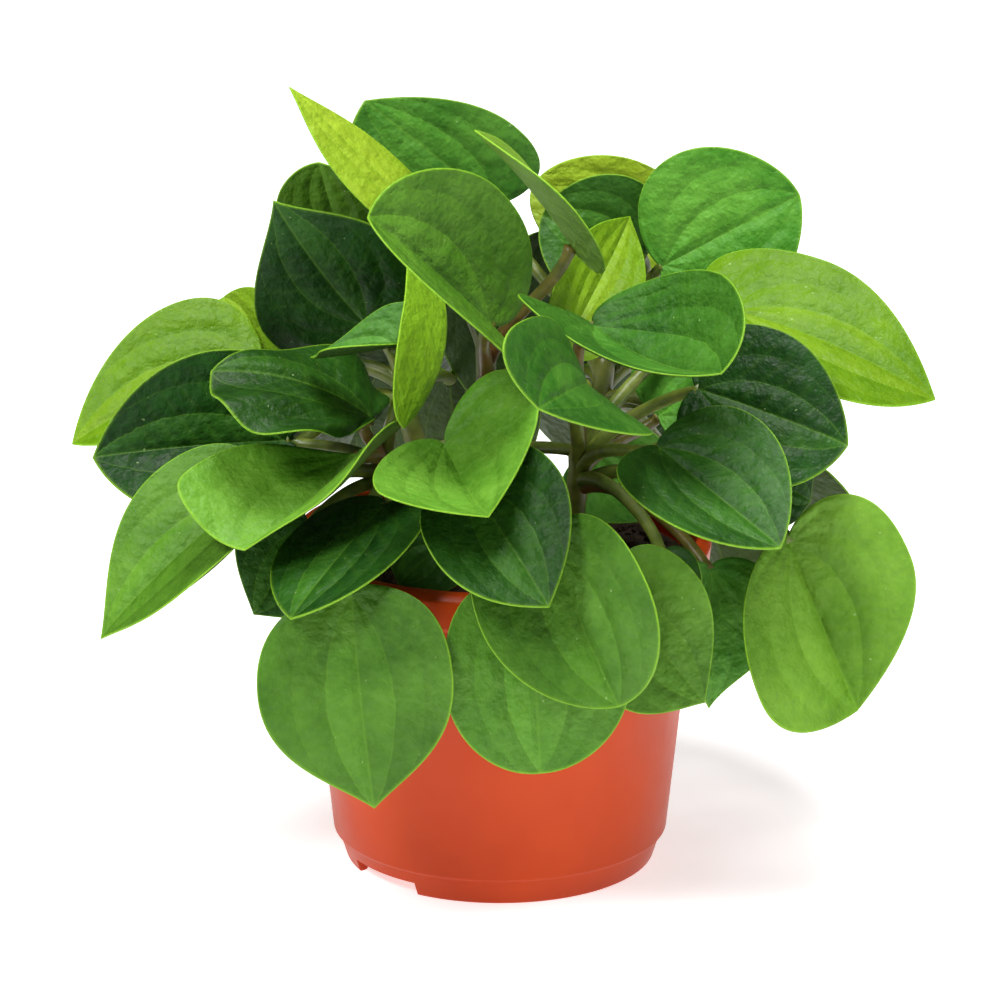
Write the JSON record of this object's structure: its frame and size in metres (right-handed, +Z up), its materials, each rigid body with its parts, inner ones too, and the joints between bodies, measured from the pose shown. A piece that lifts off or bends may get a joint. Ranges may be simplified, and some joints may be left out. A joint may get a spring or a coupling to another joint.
{
  "type": "potted plant",
  "caption": "Potted peperomia with broad glossy green leaves, some lime, in a round terracotta-coloured plastic nursery pot.",
  "frame": {"origin": "on the ground under the middle of the pot", "axes": "+Z up, the front of the plant towards -Y"},
  "size_m": [0.2432, 0.2167, 0.2253],
  "materials": {
    "pot": "satin",
    "soil": "matt, crumbly",
    "stem": "satin",
    "leaf_dark": "waxy gloss",
    "leaf_lime": "waxy gloss"
  },
  "bodies": {
    "root": {"pot": "pot", "soil": "soil", "stem_left": "stem", "stem_front": "stem", "stem_right": "stem", "stem_centre": "stem", "stem_back_left": "stem", "stem_back_right": "stem", "leaf_front_05": "leaf_dark", "leaf_front_04": "leaf_dark", "leaf_front_03": "leaf_dark", "leaf_front_02": "leaf_dark", "leaf_front_01": "leaf_dark", "leaf_left_09": "leaf_dark", "leaf_left_07": "leaf_dark", "leaf_left_08": "leaf_dark", "leaf_left_10": "leaf_dark", "leaf_left_03": "leaf_dark", "leaf_left_04": "leaf_dark", "leaf_left_05": "leaf_lime", "leaf_left_06": "leaf_lime", "leaf_top_03": "leaf_dark", "leaf_top_02": "leaf_dark", "leaf_top_01": "leaf_lime", "leaf_top_04": "leaf_dark", "leaf_top_05": "leaf_dark", "leaf_top_06": "leaf_dark", "leaf_top_07": "leaf_lime", "leaf_top_08": "leaf_dark", "leaf_top_09": "leaf_dark", "leaf_top_10": "leaf_lime", "leaf_top_11": "leaf_lime", "leaf_top_12": "leaf_dark", "leaf_top_13": "leaf_dark", "leaf_left_01": "leaf_lime", "leaf_left_02": "leaf_dark", "leaf_front_06": "leaf_dark", "leaf_front_07": "leaf_dark", "leaf_front_08": "leaf_dark", "leaf_right_01": "leaf_dark", "leaf_right_02": "leaf_dark", "leaf_right_03": "leaf_dark", "leaf_right_04": "leaf_dark", "leaf_right_05": "leaf_dark", "leaf_inner_01": "leaf_dark", "leaf_inner_02": "leaf_dark", "leaf_back_01": "leaf_dark", "leaf_back_02": "leaf_dark", "leaf_back_03": "leaf_dark", "leaf_back_04": "leaf_dark", "leaf_back_05": "leaf_dark", "leaf_back_06": "leaf_dark", "leaf_back_07": "leaf_dark", "leaf_back_08": "leaf_dark", "leaf_back_09": "leaf_dark", "leaf_back_10": "leaf_dark", "leaf_back_11": "leaf_dark", "leaf_back_12": "leaf_dark"}
  },
  "joints": []
}
